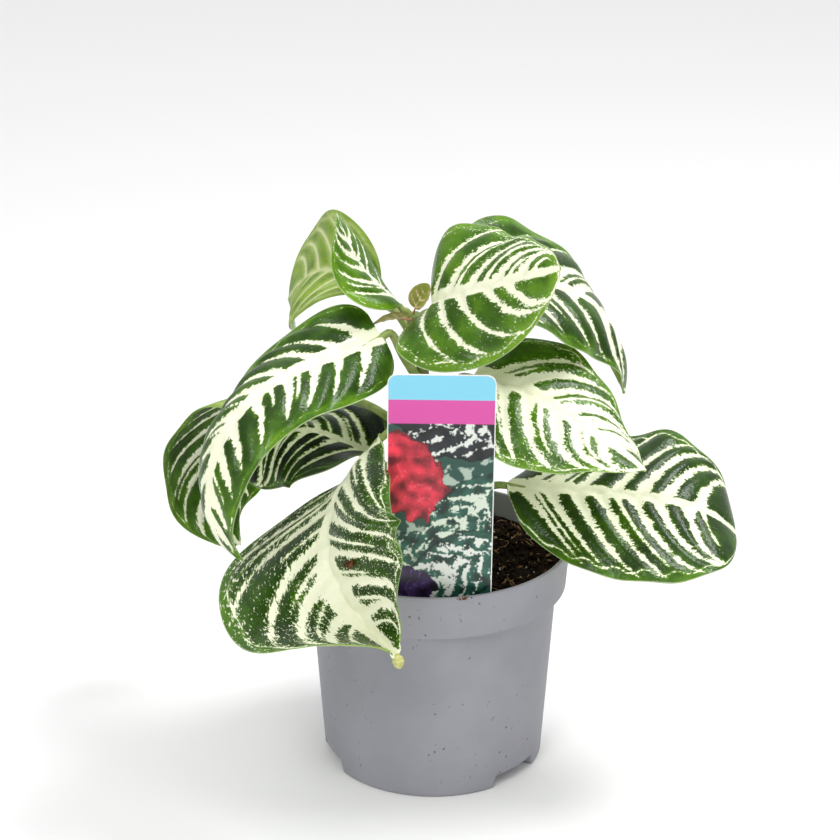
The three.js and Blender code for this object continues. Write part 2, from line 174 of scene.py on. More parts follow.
def make_surroundings():
    """A soft white world that is dimmer to the left and right than in front, behind and above."""
    world = bpy.data.worlds.new("world")
    world.use_nodes = True
    tree = world.node_tree
    background = tree.nodes["Background"]
    background.inputs["Color"].default_value = (1, 1, 1, 1)
    towards = tree.nodes.new("ShaderNodeTexCoord").outputs["Generated"]
    split = tree.nodes.new("ShaderNodeSeparateXYZ")
    sideways = tree.nodes.new("ShaderNodeMath")
    sideways.operation = "ABSOLUTE"
    strength = tree.nodes.new("ShaderNodeMapRange")
    for key, value in (("From Min", 0.3), ("From Max", 1.0), ("To Min", 1.0), ("To Max", 0.42)):
        strength.inputs[key].default_value = value
    tree.links.new(towards, split.inputs[0])
    tree.links.new(split.outputs["X"], sideways.inputs[0])
    tree.links.new(sideways.outputs[0], strength.inputs["Value"])
    tree.links.new(strength.outputs[0], background.inputs["Strength"])
    bpy.context.scene.world = world


def make_floor():
    mesh = bpy.data.meshes.new("floor")
    reach = 6
    corners = [(-reach, -reach, 0), (reach, -reach, 0), (reach, reach, 0), (-reach, reach, 0)]
    mesh.from_pydata(corners, [], [(0, 1, 2, 3)])
    white = Shader("floor_white")
    white.set(base=(0.93, 0.93, 0.93), roughness=0.9, specular=0.1)
    mesh.materials.append(white.material)
    floor = placed("floor", mesh)


def make_stage():
    bpy.context.scene.view_settings.view_transform = "Standard"
    make_surroundings()
    area_light("key", (0.55, 0.1, 1.1), (0, 0, 0.15), 0.45, 7)
    area_light("fill", (-0.4, -0.9, 1.0), (0, 0, 0.12), 0.5, 4.5)
    make_floor()


# ---- a small helper for node materials ----
class Shader:
    """A Principled material with short calls for the nodes that the finishes use."""

    def __init__(self, name):
        self.material = bpy.data.materials.new(name)
        self.material.use_nodes = True
        self.tree = self.material.node_tree
        self.bsdf = self.tree.nodes["Principled BSDF"]

    def feed(self, socket, value):
        if isinstance(value, bpy.types.NodeSocket):
            self.tree.links.new(value, socket)
        elif isinstance(value, tuple) and len(value) == 3 and len(socket.default_value) == 4:
            socket.default_value = (*value, 1)
        else:
            socket.default_value = value

    def node(self, kind, inputs, **settings):
        node = self.tree.nodes.new("ShaderNode" + kind)
        for key, value in settings.items():
            setattr(node, key, value)
        for key, value in inputs.items():
            self.feed(node.inputs[key], value)
        return node.outputs

    def set(self, base, roughness, specular):
        self.feed(self.bsdf.inputs["Base Color"], base)
        self.feed(self.bsdf.inputs["Roughness"], roughness)
        self.bsdf.inputs["Specular IOR Level"].default_value = specular

    def attribute(self, name, output="Fac"):
        return self.node("Attribute", {}, attribute_name=name)[output]

    def position(self):
        return self.node("TexCoord", {})["Object"]

    def math(self, operation, a, b):
        return self.node("Math", {0: a, 1: b}, operation=operation)[0]

    def times(self, a, b):
        return self.math("MULTIPLY", a, b)

    def plus(self, a, b):
        return self.math("ADD", a, b)

    def minus(self, a, b):
        return self.math("SUBTRACT", a, b)

    def span(self, value, low, high, to_low=0.0, to_high=1.0):
        """A smooth step of value, from to_low at low to to_high at high."""
        ends = {0: value, 1: low, 2: high, 3: to_low, 4: to_high}
        return self.node("MapRange", ends, interpolation_type="SMOOTHSTEP")[0]

    def mix(self, factor, a, b):
        return self.node("Mix", {0: factor, 6: a, 7: b}, data_type="RGBA")[2]

    def scaled(self, vector, scale, shift=(0, 0, 0)):
        return self.node("Mapping", {"Vector": vector, "Scale": scale, "Location": shift})[0]

    def noise(self, vector, scale, detail=2.0, rough=0.5):
        inputs = {"Vector": vector, "Scale": scale, "Detail": detail, "Roughness": rough}
        return self.node("TexNoise", inputs)["Fac"]

    def cells(self, vector, scale, feature="F1", output="Distance"):
        return self.node("TexVoronoi", {"Vector": vector, "Scale": scale}, feature=feature)[output]

    def bump(self, height, strength, distance):
        inputs = {"Height": height, "Strength": strength, "Distance": distance}
        self.feed(self.bsdf.inputs["Normal"], self.node("Bump", inputs)["Normal"])


# ---- meshes ----
def new_piece(name, slot, verts, faces, materials, replaces=None, face_material=None, attributes=None):
    """A smooth-shaded object in metres from vertices in millimetres, riding with the pot."""
    mesh = bpy.data.meshes.new(name)
    mesh.from_pydata((np.asarray(verts, float) * MM).tolist(), [], faces)
    for shader in materials:
        mesh.materials.append(shader.material)
    mesh.polygons.foreach_set("use_smooth", [True] * len(mesh.polygons))
    if face_material is not None:
        mesh.polygons.foreach_set("material_index", np.asarray(face_material, int).tolist())
    for key, values in (attributes or {}).items():
        values = np.asarray(values, float)
        if values.ndim == 1:
            mesh.attributes.new(key, "FLOAT", "POINT").data.foreach_set("value", values)
        elif key == "print":
            rgba = np.concatenate([values, np.ones((len(values), 1))], 1)
            mesh.attributes.new(key, "FLOAT_COLOR", "POINT").data.foreach_set("color", rgba.ravel())
        else:
            mesh.attributes.new(key, "FLOAT_VECTOR", "POINT").data.foreach_set("vector", values.ravel())
    mesh.update()
    piece = placed(name, mesh)
    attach(piece, "root")
    if replaces:
        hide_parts(replaces)
    return piece


def grid_faces(rows, columns, wrap=False, flip=False, start=0):
    """Quads over a rows x columns grid of vertices; wrap joins the last column to the first."""
    r = np.arange(rows - 1)[:, None]
    c = np.arange(columns if wrap else columns - 1)[None, :]
    a = r * columns + c
    b = r * columns + (c + 1) % columns
    quads = np.stack([a, b, b + columns, a + columns], -1).reshape(-1, 4) + start
    return (quads[:, ::-1] if flip else quads).tolist()


def merged(meshes):
    """One vertex array and one face list from several pairs of vertices and faces."""
    verts, faces, total = [], [], 0
    for mesh_verts, mesh_faces in meshes:
        verts.append(mesh_verts)
        faces += [[index + total for index in face] for face in mesh_faces]
        total += len(mesh_verts)
    return np.concatenate(verts), faces


def spline_points(points, samples):
    """A smooth line through the points, as samples spaced evenly along it."""
    points = np.asarray(points, float)
    t = np.linspace(0, 1, samples * 4)
    dense = np.stack([smooth(points[:, axis], t) for axis in range(3)], -1)
    length = np.concatenate([[0], np.cumsum(np.linalg.norm(np.diff(dense, axis=0), axis=1))])
    even = np.linspace(0, length[-1], samples)
    return np.stack([np.interp(even, length, dense[:, axis]) for axis in range(3)], -1)


def tube(line, radii, sides=14):
    """Rings of a tube along a line that don't twist, closed at both ends."""
    line = np.asarray(line, float)
    tangent = np.gradient(line, axis=0)
    tangent /= np.linalg.norm(tangent, axis=1)[:, None]
    across = np.cross(tangent[0], (0.3, 0.9, 0.1))
    rings = []
    for point, direction, radius in zip(line, tangent, radii):
        across = across - direction * across.dot(direction)
        across /= np.linalg.norm(across)
        other = np.cross(direction, across)
        angle = np.arange(sides) * TAU / sides
        rings.append(point + radius * (np.cos(angle)[:, None] * across + np.sin(angle)[:, None] * other))
    verts = np.concatenate(rings + [line[:1], line[-1:]])
    faces = grid_faces(len(line), sides, wrap=True)
    first, last = len(verts) - 2, len(verts) - 1
    end = (len(line) - 1) * sides
    for side in range(sides):
        following = (side + 1) % sides
        faces.append([first, following, side])
        faces.append([last, end + side, end + following])
    return verts, faces


def smooth(values, t):
    """A smooth curve through values spaced evenly over 0 to 1."""
    values = np.asarray(values, float)
    spans = len(values) - 1
    place = np.clip(t, 0, 1) * spans
    i = np.minimum(place.astype(int), spans - 1)
    f = place - i
    padded = np.concatenate([[2 * values[0] - values[1]], values, [2 * values[-1] - values[-2]]])
    a, b, c, d = padded[i], padded[i + 1], padded[i + 2], padded[i + 3]
    return 0.5 * (2 * b + (c - a) * f + (2 * a - 5 * b + 4 * c - d) * f * f + (3 * b - a - 3 * c + d) * f**3)


def unit(vectors):
    return vectors / np.maximum(np.linalg.norm(vectors, axis=-1, keepdims=True), 1e-9)


# ---- leaf geometry ----
def heading(leaf, t):
    """Unit vectors along the midrib at the shares t of its length."""
    pitch = np.radians(smooth(leaf["pitch"], t))
    yaw = np.radians(smooth(leaf["yaw"], t))
    return np.stack([np.cos(pitch) * np.cos(yaw), np.cos(pitch) * np.sin(yaw), np.sin(pitch)], -1)


def blade_frames(leaf, t):
    """Midrib points at the shares t, with unit vectors to the right and up from the blade there."""
    fine = 288
    steps = heading(leaf, (np.arange(fine) + 0.5) / fine) * leaf["length"] / fine
    line = np.concatenate([[np.zeros(3)], np.cumsum(steps, 0)]) + np.asarray(leaf["base"], float)
    knots = np.linspace(0, 1, fine + 1)
    middle = np.stack([np.interp(t, knots, line[:, axis]) for axis in range(3)], -1)
    forward = heading(leaf, t)
    yaw = np.radians(smooth(leaf["yaw"], t))
    roll = np.radians(smooth(leaf["roll"], t))[:, None]
    flat_side = np.stack([np.sin(yaw), -np.cos(yaw), 0 * yaw], -1)
    flat_normal = np.cross(flat_side, forward)
    side = flat_side * np.cos(roll) + flat_normal * np.sin(roll)
    normal = flat_normal * np.cos(roll) - flat_side * np.sin(roll)
    return middle, side, normal


def least_half_width(leaf, t):
    """The half width that the blade keeps at its two ends, narrower for a young leaf."""
    slim = min(1, leaf["length"] / 60)
    return slim * (1.5 - 1.2 * t)


def half_width(leaf, t):
    blunt, taper = leaf["shape"]
    peak = blunt / (blunt + taper)
    inside = np.clip(t, 1e-6, 1 - 1e-6)
    width = leaf["width"] * (inside**blunt * (1 - inside) ** taper) / (peak**blunt * (1 - peak) ** taper)
    return np.maximum(width, least_half_width(leaf, t))


def blade_surface(leaf, t, v):
    """Points over the blade; v runs from -1 at the left margin to 1 at the right."""
    middle, side, normal = blade_frames(leaf, t)
    width = half_width(leaf, t)
    ease = np.clip((width - least_half_width(leaf, t)) / (0.12 * leaf["width"]), 0, 1)
    points = np.zeros((len(t), len(v), 3))
    for sign, hand in ((-1, "left"), (1, "right")):
        fold = (ease * np.radians(smooth(leaf["fold_" + hand], t)))[:, None]
        curl = (ease * np.radians(smooth(leaf["curl_" + hand], t)))[:, None]
        curl = np.where(np.abs(curl) < 1e-3, 1e-3, curl)
        pick = v < 0 if sign < 0 else v >= 0
        reach = np.abs(v[pick])[None, :]
        out = width[:, None] * (np.sin(fold + curl * reach) - np.sin(fold)) / curl
        up = width[:, None] * (np.cos(fold) - np.cos(fold + curl * reach)) / curl
        half = middle[:, None] + sign * side[:, None] * out[..., None] + normal[:, None] * up[..., None]
        points[:, pick] = half
    return points


def vein_field(leaf, t, v, rng):
    """Vein measures over the blade, in millimetres.

    They are how deep inside a pale band a point is, how ragged the band's edge is there, how far the
    nearest main side vein is, and how far across and along the blade the point lies."""
    length, white, pairs, extent = leaf["length"], leaf["white"], leaf["veins"], leaf["extent"]
    along = (t * length)[:, None] + 0 * v[None, :]
    out = np.abs(v)[None, :]
    width = half_width(leaf, t)[:, None]
    across = out * width
    scale = min(1.2, length / 95)
    flood = leaf["flood"] * np.exp(-(((t[:, None] - 0.72) / 0.2) ** 2))
    inside = scale * white * (2.3 - 1.5 * t[:, None] + flood) - across
    ragged = 0.5 + 0.3 * flood + np.zeros(inside.shape)
    nearest = np.full(inside.shape, 99.0)
    gap = 0.84 * length / pairs

    def lay(body, half, edge):
        better = (body > inside) & half
        ragged[better] = np.broadcast_to(edge, inside.shape)[better]
        inside[better] = body[better]

    for sign in (-1, 1):
        half = np.broadcast_to((v < 0) if sign < 0 else (v >= 0), inside.shape)
        shift = 0.03 + (0.25 if sign < 0 else 0.0) / pairs
        for k in range(pairs):
            start = shift * length + gap * (k + rng.uniform(-0.12, 0.12))
            left = length - start
            reach = min(leaf["sweep"] * leaf["width"], 0.85 * left) * rng.uniform(0.9, 1.08)
            lean = rng.uniform(0.48, 0.6)
            path = start + reach * (lean * out + (1 - lean) * out**2.4)
            slope = reach * (lean + 2.4 * (1 - lean) * out**1.4) / np.maximum(width, 3)
            square = np.sqrt(1 + slope**2)
            distance = np.abs(along - path) / square
            end = extent * rng.uniform(0.93, 1.0)
            taper = np.clip(1 - out / end, 0, 1)
            broad = white * scale * rng.uniform(0.7, 1.15)
            body = broad * taper**0.6 + 1.3 * white * scale * np.exp(-across / (3.2 * scale)) - distance
            body = np.where(out < end, body + 0.25 * (1 - out), body - 0.6)
            lay(body, half, 0.35 + 0.6 * np.minimum(broad * taper**0.5, 1.4))
            nearest = np.where(half, np.minimum(nearest, distance), nearest)
            if rng.uniform() < leaf["spurs"]:
                offset = gap * rng.uniform(0.4, 0.62)
                thin_end = rng.uniform(0.4, 0.9)
                thin = rng.uniform(0.3, 0.6) * white * scale
                spur = thin * np.clip(1 - out / thin_end, 0, 1) ** 0.5 + thin * np.exp(-across / 2.5)
                spur = spur - np.abs(along - path - offset) / square
                lay(np.where(out < thin_end, spur, spur - 0.8), half, 0.45)
        bend = 0.90 + 0.025 * np.sin(TAU * along / gap + rng.uniform(0, TAU))
        band = leaf["loop"] * 0.38 * scale - 0.1 - np.abs(out - bend) * width
        lay(np.broadcast_to(band, inside.shape).copy(), half, 0.28)
    return inside, ragged, nearest, across, along


def leaf_arrays(leaf, rows, columns):
    """Top and bottom points of a blade, raised between its veins, and the measures its finish reads."""
    rng = np.random.default_rng(leaf["seed"])
    even = np.linspace(0, 1, rows)
    t = 0.6 * even + 0.2 * (1 - np.cos(np.pi * even))
    v = np.linspace(-1, 1, columns)
    points = blade_surface(leaf, t, v)
    inside, ragged, nearest, across, along = vein_field(leaf, t, v, rng)
    du = np.gradient(points, axis=0)
    dv = np.gradient(points, axis=1)
    normal = unit(np.cross(dv, du))
    size = min(1, leaf["length"] / 90)
    fade = np.clip((1 - np.abs(v)) * 6, 0, 1)[None, :] ** 0.7
    puff = 1.15 * size * (1 - np.exp(-((nearest / (2.6 * size)) ** 2))) * fade
    puff = puff * np.clip(8 * t, 0, 1)[:, None] * np.clip(6 * (1 - t), 0, 1)[:, None]
    groove = 1.1 * size * np.exp(-((across / (2.0 * size)) ** 2)) * (1 - t[:, None]) ** 0.5
    groove = groove * np.clip(12 * t, 0.2, 1)[:, None]
    ripple = leaf["wave"] * (np.abs(v) ** 3)[None, :] * (
        np.sin(TAU * (t * rng.uniform(3.2, 4.4) + rng.uniform()))[:, None] * (v < 0)[None, :]
        + np.sin(TAU * (t * rng.uniform(3.2, 4.4) + rng.uniform()))[:, None] * (v >= 0)[None, :]
    ) * np.clip(5 * t * (1 - t) * 4, 0, 1)[:, None]
    top = points + normal * (puff - groove + ripple)[..., None]
    rib = 1.3 * size * np.exp(-((across / (1.3 * size)) ** 2)) * (1 - 0.75 * t[:, None])
    cords = 0.32 * size * np.exp(-((nearest / 0.5) ** 2)) * (1 - np.abs(v))[None, :]
    thick = BLADE_THICKNESS * size * (0.5 + 0.5 * fade) + rib + cords
    bottom = top - normal * thick[..., None]
    edge = (1 - np.abs(v))[None, :] * half_width(leaf, t)[:, None]
    edge = np.minimum(edge, (leaf["length"] - along) * 0.8 + 0.2)
    side = np.sign(v)[None, :] * across
    place = np.stack([along, side, np.full(along.shape, 60.0 * leaf["seed"])], -1)
    looks = {key: np.full(along.shape, leaf[key]) for key in ("tone", "fleck")}
    return top, bottom, dict(vein=inside, ragged=ragged, nearest=nearest, edge=edge, place=place, **looks)


def stalk_line(leaf):
    """The stalk's line from the stem to a little way under the blade, and its slimness."""
    start = stem_point(leaf["node"])
    base = np.asarray(leaf["base"], float)
    span = np.linalg.norm(base - start)
    lift = (start + base) / 2
    lift[2] += 0.08 * span
    before = base - heading(leaf, np.array([0.0]))[0] * min(6, 0.2 * span)
    slim = min(1, leaf["length"] / 60)
    middle, side, normal = blade_frames(leaf, np.array([0.0, 0.05, 0.12, 0.2]))
    under = middle - normal * (np.array([[1.5], [2.0], [1.9], [1.5]]) * slim)
    before = before - normal[0] * (2.2 * slim)
    return np.concatenate([[start, lift, before], under]), slim


def stem_point(height):
    """The point of the stem's centre line at a height."""
    line = spline_points(STEM_LINE, 200)
    return np.array([np.interp(height, line[:, 2], line[:, axis]) for axis in range(3)])


def make_leaf(name, leaf, materials, slot):
    """A blade closed round its margin, with its stalk, as one piece in place of the CAD leaf."""
    big = leaf["length"] > 30
    rows, columns = LEAF_GRID if big else YOUNG_GRID
    top, bottom, measures = leaf_arrays(leaf, rows, columns)
    count = rows * columns
    verts = [top.reshape(-1, 3), bottom.reshape(-1, 3)]
    faces = grid_faces(rows, columns, flip=True)
    turned = int(leaf["turned"])
    kinds = [turned] * len(faces)
    under = grid_faces(rows, columns, start=count)
    faces += under
    kinds += [1 - turned] * len(under)
    border = [r * columns for r in range(rows)]
    border += [(rows - 1) * columns + c for c in range(1, columns)]
    border += [r * columns + columns - 1 for r in range(rows - 2, -1, -1)]
    border += list(range(columns - 2, 0, -1))
    for here, after in zip(border, border[1:] + border[:1]):
        faces.append([here, after, after + count, here + count])
        kinds.append(2)
    line, slim = stalk_line(leaf)
    path = spline_points(line, 48 if big else 24)
    share = np.linspace(0, 1, len(path))
    radii = slim * np.interp(share, [0, 0.04, 0.2, 0.75, 1], [3.0, 2.4, 2.0, 1.5, 0.4])
    stalk_verts, stalk_faces = tube(path, radii)
    offset = 2 * count
    faces += [[index + offset for index in face] for face in stalk_faces]
    kinds += [3] * len(stalk_faces)
    verts.append(stalk_verts)
    extra = len(stalk_verts)
    attributes = {}
    for key, values in measures.items():
        flat = values.reshape(count, -1)
        both = np.concatenate([flat, flat, np.zeros((extra, flat.shape[1]))])
        if key == "place":
            both[2 * count:] = stalk_verts + (0, 0, 60.0 * leaf["seed"])
        attributes[key] = both if key == "place" else both[:, 0]
    return new_piece(name + "_blade", slot, np.concatenate(verts), faces, materials, replaces=name,
                     face_material=kinds, attributes=attributes)


# ---- leaf finishes ----
def halfway(one, other):
    return tuple(0.5 * (a + b) for a, b in zip(one, other))


def leaf_top(name, darkest, dark, mid, light, cream, shine=0.28):
    """Greens from darkest to light between cream bands with ragged edges and flecks near them."""
    s = Shader(name)
    place = s.attribute("place", "Vector")
    vein = s.attribute("vein")
    edge = s.attribute("edge")
    teeth = s.noise(s.scaled(place, (0.50, 0.95, 1)), 1.0, 3.0, 0.65)
    fine = s.noise(s.scaled(place, (1.5, 2.2, 1), (7, 3, 1)), 1.0, 2.0, 0.6)
    push = s.times(s.minus(teeth, 0.5), s.times(s.attribute("ragged"), 4.6))
    push = s.plus(push, s.times(s.minus(fine, 0.5), 0.9))
    broad = s.noise(s.scaled(place, (1, 1, 1), (3, 1, 8)), 0.16, 2.0, 0.5)
    broad = s.times(s.minus(broad, 0.46), s.times(s.attribute("ragged"), 3.4))
    push = s.plus(push, broad)
    depth = s.plus(vein, push)
    pale = s.span(depth, -0.05, 0.14)
    speck = s.noise(s.scaled(place, (1, 1, 1), (1, 9, 4)), 0.95, 3.0, 0.7)
    near = s.times(s.span(vein, -4.0, -0.3, 0.02, 0.09), s.attribute("fleck"))
    speck = s.span(s.plus(speck, near), 0.715, 0.74)
    pale = s.math("MAXIMUM", pale, s.times(speck, 0.8))
    tone = s.noise(place, 0.07, 4.0, 0.6)
    # A low tone runs the green towards near black: partly the leaf's own dark green, partly painted shade.
    leafy = s.plus(s.attribute("tone"), s.span(tone, 0.3, 0.7, -0.22, 0.22))
    leafy = s.plus(leafy, s.span(edge, 0.5, 7.0, 0.35, 0.0))
    green = s.mix(s.span(leafy, -0.1, 0.35), darkest, dark)
    green = s.mix(s.span(leafy, 0.3, 0.95), green, mid)
    green = s.mix(s.times(s.span(leafy, 0.7, 1.3), 0.8), green, light)
    green = s.mix(s.span(depth, -0.9, 0.0, 0.0, 0.35), green, light)
    shade = s.noise(place, 0.3, 3.0, 0.6)
    # Painted shade: on a leaf of tone below 0.35 the cream bands are dimmed towards olive, as if it lay in
    # shade.
    painted_shade = s.span(s.attribute("tone"), 0.0, 0.35, 0.55, 0.0)
    pith = s.mix(s.span(shade, 0.35, 0.75, 0.0, 0.3), cream, tuple(0.85 * c for c in cream))
    pith = s.mix(painted_shade, pith, (0.30, 0.36, 0.16))
    colour = s.mix(pale, green, pith)
    rim = s.span(edge, 0.2, 0.5, 0.6, 0.0)
    colour = s.mix(rim, colour, halfway(light, cream))
    s.set(base=colour, roughness=s.span(pale, 0, 1, 0.24, 0.38), specular=shine)
    cell = s.cells(s.scaled(place, (1, 1.15, 1)), 0.55, "DISTANCE_TO_EDGE")
    pore = s.noise(place, 2.2, 2.0, 0.5)
    height = s.plus(s.span(cell, 0.0, 0.35), s.times(pore, 0.35))
    s.bump(height, 0.16, 0.0005)
    return s


def leaf_under(name, dark, mid, pale_vein):
    """The matt underside, with soft pale veins."""
    s = Shader(name)
    place = s.attribute("place", "Vector")
    vein = s.attribute("vein")
    edge = s.attribute("edge")
    nearest = s.attribute("nearest")
    wobble = s.noise(s.scaled(place, (0.5, 0.9, 1)), 1.0, 2.0, 0.5)
    depth = s.plus(vein, s.times(s.minus(wobble, 0.5), 1.6))
    tone = s.noise(place, 0.11, 3.0, 0.6)
    green = s.mix(s.span(tone, 0.3, 0.7), dark, mid)
    green = s.mix(s.span(depth, -2.4, 0.6, 0.0, 0.75), green, halfway(mid, pale_vein))
    core = s.times(s.span(nearest, 0.35, 1.0, 0.75, 0.0), s.span(edge, 1, 8))
    colour = s.mix(s.math("MAXIMUM", s.span(depth, -0.5, 1.2, 0.0, 0.85), core), green, pale_vein)
    colour = s.mix(s.span(edge, 0.3, 3.0, 0.6, 0.0), colour, mid)
    s.set(base=colour, roughness=0.5, specular=0.4)
    cell = s.cells(place, 0.5, "DISTANCE_TO_EDGE")
    s.bump(s.span(cell, 0.0, 0.3), 0.3, 0.0004)
    return s


def plain_green(name, colour, other):
    s = Shader(name)
    place = s.attribute("place", "Vector")
    tone = s.noise(place, 0.15, 3.0, 0.6)
    s.set(base=s.mix(s.span(tone, 0.3, 0.7), colour, other), roughness=0.45, specular=0.45)
    s.bump(s.noise(place, 1.4, 2.0), 0.2, 0.0003)
    return s


# ---- stem ----
def make_stem():
    line = spline_points(STEM_LINE, 150)
    share = np.linspace(0, 1, len(line))
    nodes = [leaf["node"] for leaf in LEAVES.values()]
    closest = np.min([np.abs(line[:, 2] - height) for height in nodes], axis=0)
    radii = np.interp(share, [0, 0.3, 1], [STEM_RADIUS[0], STEM_RADIUS[0], STEM_RADIUS[1]])
    radii = radii + 1.0 * np.exp(-((closest / 2.2) ** 2))
    verts, faces = tube(line, radii, 24)
    green = Shader("stem_green")
    where = green.position()
    tone = green.noise(where, 90, 3.0)
    ring = green.span(green.noise(green.scaled(where, (1, 1, 14)), 40, 2.0), 0.45, 0.7)
    colour = green.mix(green.span(tone, 0.3, 0.7), (0.10, 0.17, 0.035), (0.20, 0.26, 0.07))
    colour = green.mix(green.times(ring, 0.45), colour, (0.16, 0.09, 0.04))
    green.set(base=colour, roughness=0.5, specular=0.4)
    green.bump(tone, 0.3, 0.0005)
    new_piece("stem", "stem_green", verts, faces, [green], replaces="main_stem")


# ---- pot ----
def arc(radius, z, size, start, step, count):
    """Profile points on a rounding, with 0 degrees outwards and 90 up."""
    angles = [math.radians(start + step * k) for k in range(count)]
    return [(radius + size * math.cos(angle), z + size * math.sin(angle)) for angle in angles]


def between(start, end, steps):
    """Profile points that divide a straight line into equal steps, without its two ends."""
    shares = [k / steps for k in range(1, steps)]
    return [tuple(p + (q - p) * share for p, q in zip(start, end)) for share in shares]


def pot_profile():
    """Radius and height pairs down the outside, from the lip to the axis, then back up the inside."""
    rim, height, wall = POT["rim"], POT["height"], POT["wall"]
    step = height - POT["collar_height"]
    collar, shoulder, foot, rounding = POT["collar"], POT["shoulder"], POT["foot"], POT["rounding"]
    low = foot - DRAIN["depth"]
    lip, edge = 0.6, 0.9
    outside = arc(rim - lip, height - lip, lip, 90, -22.5, 5)
    outside += between((rim, height - lip), (collar, step + 1.0), 12)
    outside += arc(collar - edge, step + edge, edge, 0, -22.5, 5)
    outside += [(shoulder + 0.9, step), (shoulder + 0.25, step - 0.25), (shoulder, step - 0.9)]
    outside += between((shoulder, step - 0.9), (foot, rounding), 30)
    outside += arc(foot - rounding, rounding, rounding, 0, -15, 7)
    outside += [(low + offset, 0) for offset in (7, 4, 1.6, 0.8, 0, -0.8)]
    outside += between((low - 1, 0), (0, 0), 8)
    inner = [(0.5, wall), (12, wall)] + [(low + offset, wall) for offset in (-4, -2, -1.2, -0.4, 3)]
    inner += [(foot - wall - 2, wall), (foot - wall - 0.6, wall + 0.6), (foot - wall, wall + 2)]
    inner += between((foot - wall, wall + 2), (shoulder - wall, step - 1), 16)
    inner += [(shoulder - wall, step - 1), (shoulder - wall + 0.3, step + 0.4)]
    collar_foot = (collar - wall - 0.6, step + 1.5)
    collar_top = (rim - wall - 0.3, height - 0.5)
    inner += [collar_foot] + between(collar_foot, collar_top, 8) + [collar_top]
    inner.append((rim - wall - 0.1, height))
    return outside, inner


def make_pot():
    """The pot turned from its profile, lifted over each drain recess, with a hole cut in each."""
    outside, inner = pot_profile()
    outline = outside + inner
    angle = np.arange(POT_SEGMENTS) * TAU / POT_SEGMENTS
    rings = []
    centres = [math.radians(DRAIN["first"] + 360 * k / DRAIN["count"]) for k in range(DRAIN["count"])]
    notch = np.zeros(POT_SEGMENTS)
    for centre in centres:
        away = np.degrees(np.abs((angle - centre + math.pi) % TAU - math.pi))
        notch = np.maximum(notch, np.clip((DRAIN["half_angle"] + 1.5 - away) / 3, 0, 1))
    notch = notch * notch * (3 - 2 * notch)
    low = POT["foot"] - DRAIN["depth"]
    fade = 16  # height by which the lift over a recess has died away
    for index, (radius, z) in enumerate(outline):
        edge = low if index < len(outside) else low - POT["wall"]
        inwards = min(1, max(0, (radius - edge + 0.4) / 0.8))
        lift = DRAIN["height"] * notch * inwards * max(0, 1 - z / fade)
        rings.append(np.stack([radius * np.cos(angle), radius * np.sin(angle), z + lift], -1))
    verts = np.concatenate(rings)
    faces = grid_faces(len(outline), POT_SEGMENTS, wrap=True)
    last = (len(outline) - 1) * POT_SEGMENTS
    for k in range(POT_SEGMENTS):
        faces.append([last + k, last + (k + 1) % POT_SEGMENTS, (k + 1) % POT_SEGMENTS, k])
    piece = new_piece("nursery_pot", "pot_plastic", verts, faces, [pot_plastic()], replaces="pot")
    for centre in centres:
        cut_hole(piece, centre)
    return piece


def cut_hole(piece, centre):
    """One round drain hole through the raised floor of a recess."""
    sides = 32
    reach = (POT["foot"] - DRAIN["depth"] / 2 - 2) * MM
    radius = DRAIN["hole"] * MM
    turn = np.arange(sides) * TAU / sides
    rings = []
    for z in (-0.002, 0.012):
        x = reach * math.cos(centre) + radius * np.cos(turn)
        y = reach * math.sin(centre) + radius * np.sin(turn)
        rings.append(np.stack([x, y, 0 * turn + z], -1))
    mesh = bpy.data.meshes.new("cutter")
    faces = grid_faces(2, sides, wrap=True) + [list(range(sides))[::-1], list(range(sides, 2 * sides))]
    mesh.from_pydata(np.concatenate(rings).tolist(), [], faces)
    cutter = placed("cutter", mesh)
    modifier = piece.modifiers.new("hole", "BOOLEAN")
    modifier.operation = "DIFFERENCE"
    modifier.object = cutter
    modifier.solver = "EXACT"
    bpy.context.view_layer.objects.active = piece
    bpy.context.view_layer.update()
    with bpy.context.temp_override(object=piece, active_object=piece):
        bpy.ops.object.modifier_apply(modifier=modifier.name)
    bpy.data.objects.remove(cutter)


def pot_plastic():
    s = Shader("pot_plastic")
    where = s.position()
    cloud = s.noise(where, 22, 4.0, 0.6)
    colour = s.mix(s.span(cloud, 0.3, 0.7), (0.268, 0.270, 0.302), (0.312, 0.312, 0.346))
    dust = s.span(s.noise(s.scaled(where, (1, 1, 0.6)), 420, 2.0, 0.6), 0.66, 0.74)
    patch = s.span(s.noise(where, 45, 2.0), 0.5, 0.62)
    colour = s.mix(s.times(s.times(dust, patch), 0.7), colour, (0.07, 0.045, 0.03))
    spots = s.cells(where, 160, "F1")
    lone = s.cells(where, 160, "F1", "Color")
    chosen = s.span(lone, 0.48, 0.52)
    torn = s.plus(spots, s.times(s.noise(where, 1100, 1.0), 0.16))
    spot = s.times(s.span(torn, 0.13, 0.19, 1.0, 0.0), chosen)
    colour = s.mix(s.times(spot, 0.65), colour, (0.05, 0.035, 0.03))
    s.set(base=colour, roughness=s.span(cloud, 0.2, 0.8, 0.46, 0.56), specular=0.18)
    s.bump(s.noise(where, 1500, 2.0), 0.12, 0.0002)
    return s


# ---- soil ----
def soil_height(x, y):
    """Height of the rough soil surface, mounded towards the stem."""
    inward = 1 - math.hypot(x, y) / POT["rim"]
    ripple = math.sin(x / 9) * math.cos(y / 7)
    base = SOIL["top"] + SOIL["mound"] * inward + SOIL["ripple"] * ripple * min(1, 3 * inward)
    rough = noise.fractal(Vector((x * 0.22, y * 0.22, 3.1)), 0.8, 2.2, 5)
    return base + 0.9 * rough


